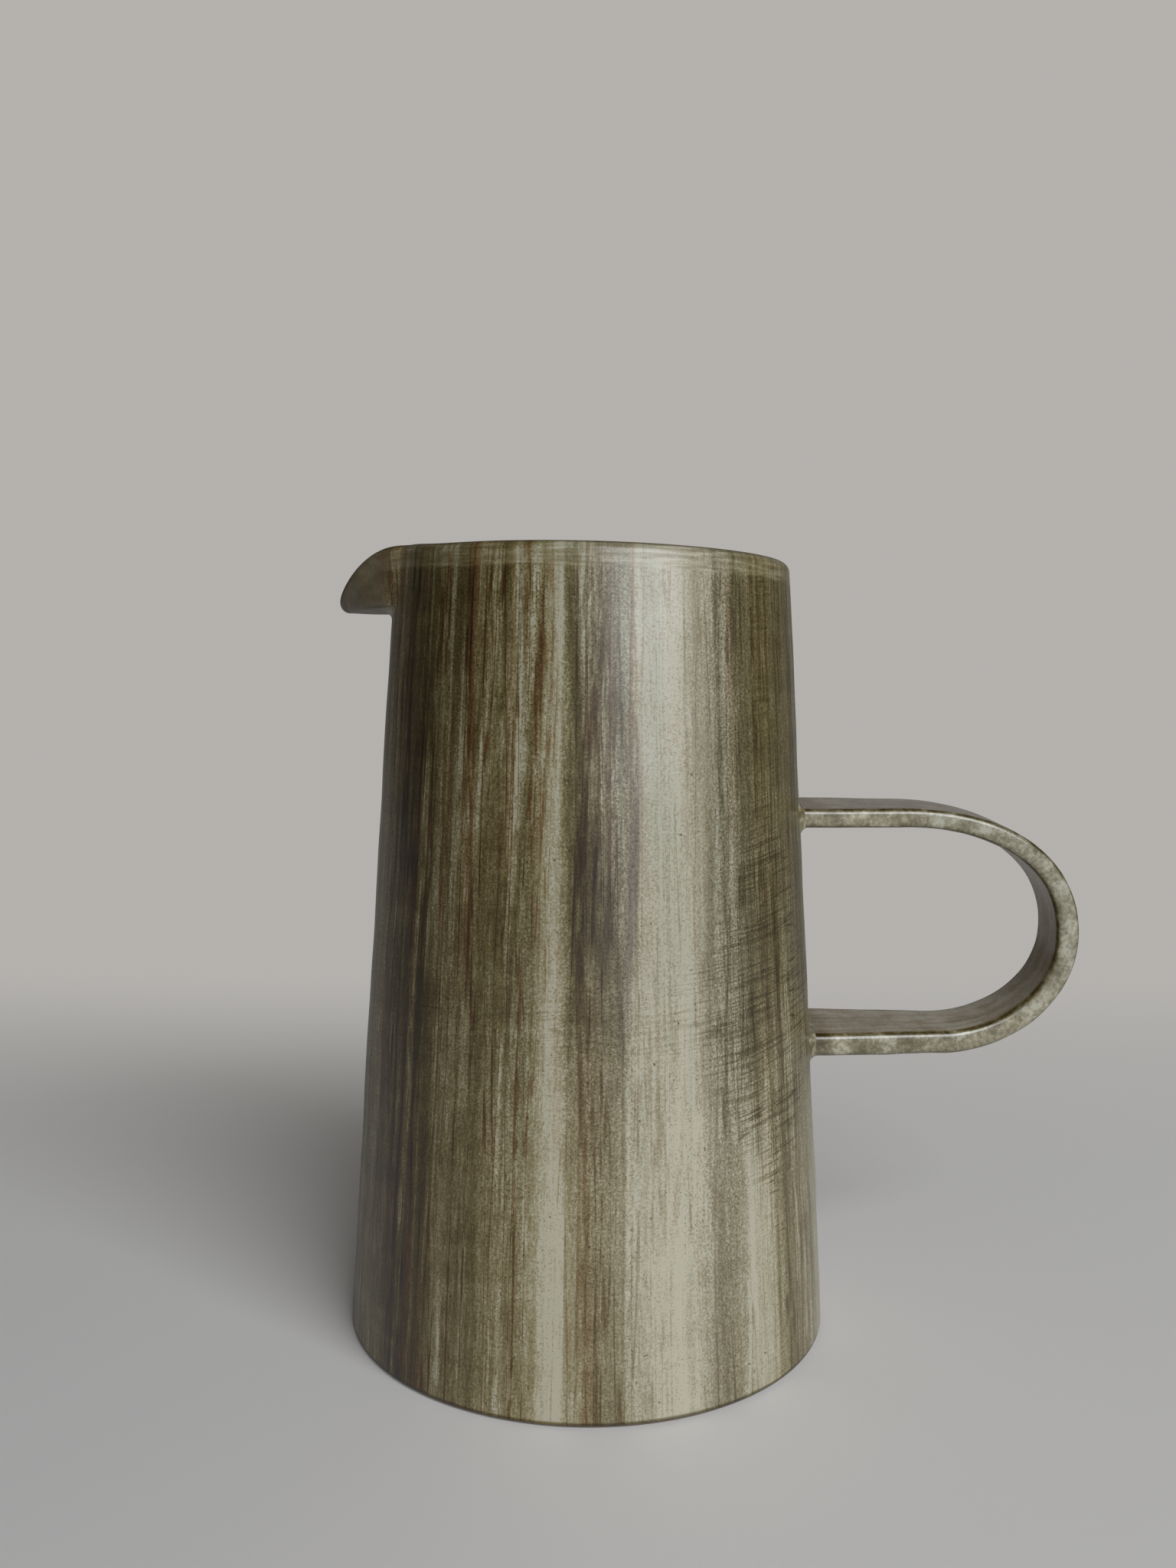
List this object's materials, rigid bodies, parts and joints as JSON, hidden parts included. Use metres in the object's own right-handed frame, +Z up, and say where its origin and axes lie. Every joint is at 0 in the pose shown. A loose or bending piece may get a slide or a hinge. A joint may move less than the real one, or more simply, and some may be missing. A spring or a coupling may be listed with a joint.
{
  "type": "pitcher",
  "caption": "Tapered stoneware pitcher with a round rim, a drooping beak spout and a flat D-shaped strap handle, streaked satin glaze.",
  "frame": {"origin": "middle of the flat underside, on the table", "axes": "+Z up along the pitcher's axis; the spout points to -X and the handle to +X"},
  "size_m": [0.1964, 0.1258, 0.201],
  "materials": {
    "streaked_glaze": "satin",
    "handle_glaze": "satin",
    "inside_glaze": "satin",
    "bare_stoneware": "matte"
  },
  "bodies": {
    "root": {"wall": "streaked_glaze", "base_disc": "bare_stoneware", "base_seam_coil": "inside_glaze", "spout": "streaked_glaze", "handle": "handle_glaze", "handle_upper_coil": "handle_glaze", "handle_lower_coil": "handle_glaze"}
  },
  "joints": []
}
